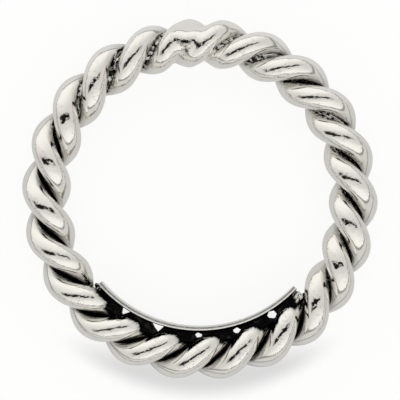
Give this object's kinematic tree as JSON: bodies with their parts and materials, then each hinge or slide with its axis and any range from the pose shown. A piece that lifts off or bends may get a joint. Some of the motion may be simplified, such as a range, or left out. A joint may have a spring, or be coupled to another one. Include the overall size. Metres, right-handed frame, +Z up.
{
  "type": "rope twist ring",
  "caption": "Finger ring of round silver wires twisted into a rope and soldered shut, with blackened grooves and a plain curved plate soldered inside the hoop.",
  "frame": {"origin": "middle of the ring's outline, on the plane that it lies on", "axes": "+Z up along the finger hole's axis, +Y from the middle of the plate towards the soldered joint of the hoop, +X to the right when seen from above"},
  "size_m": [0.0238, 0.024, 0.0033],
  "materials": {
    "silver": "mirror polished silver, blackened in the grooves between the wires, behind the plate and round the solder"
  },
  "bodies": {
    "root": {"twisted_band": "silver"}
  },
  "joints": []
}
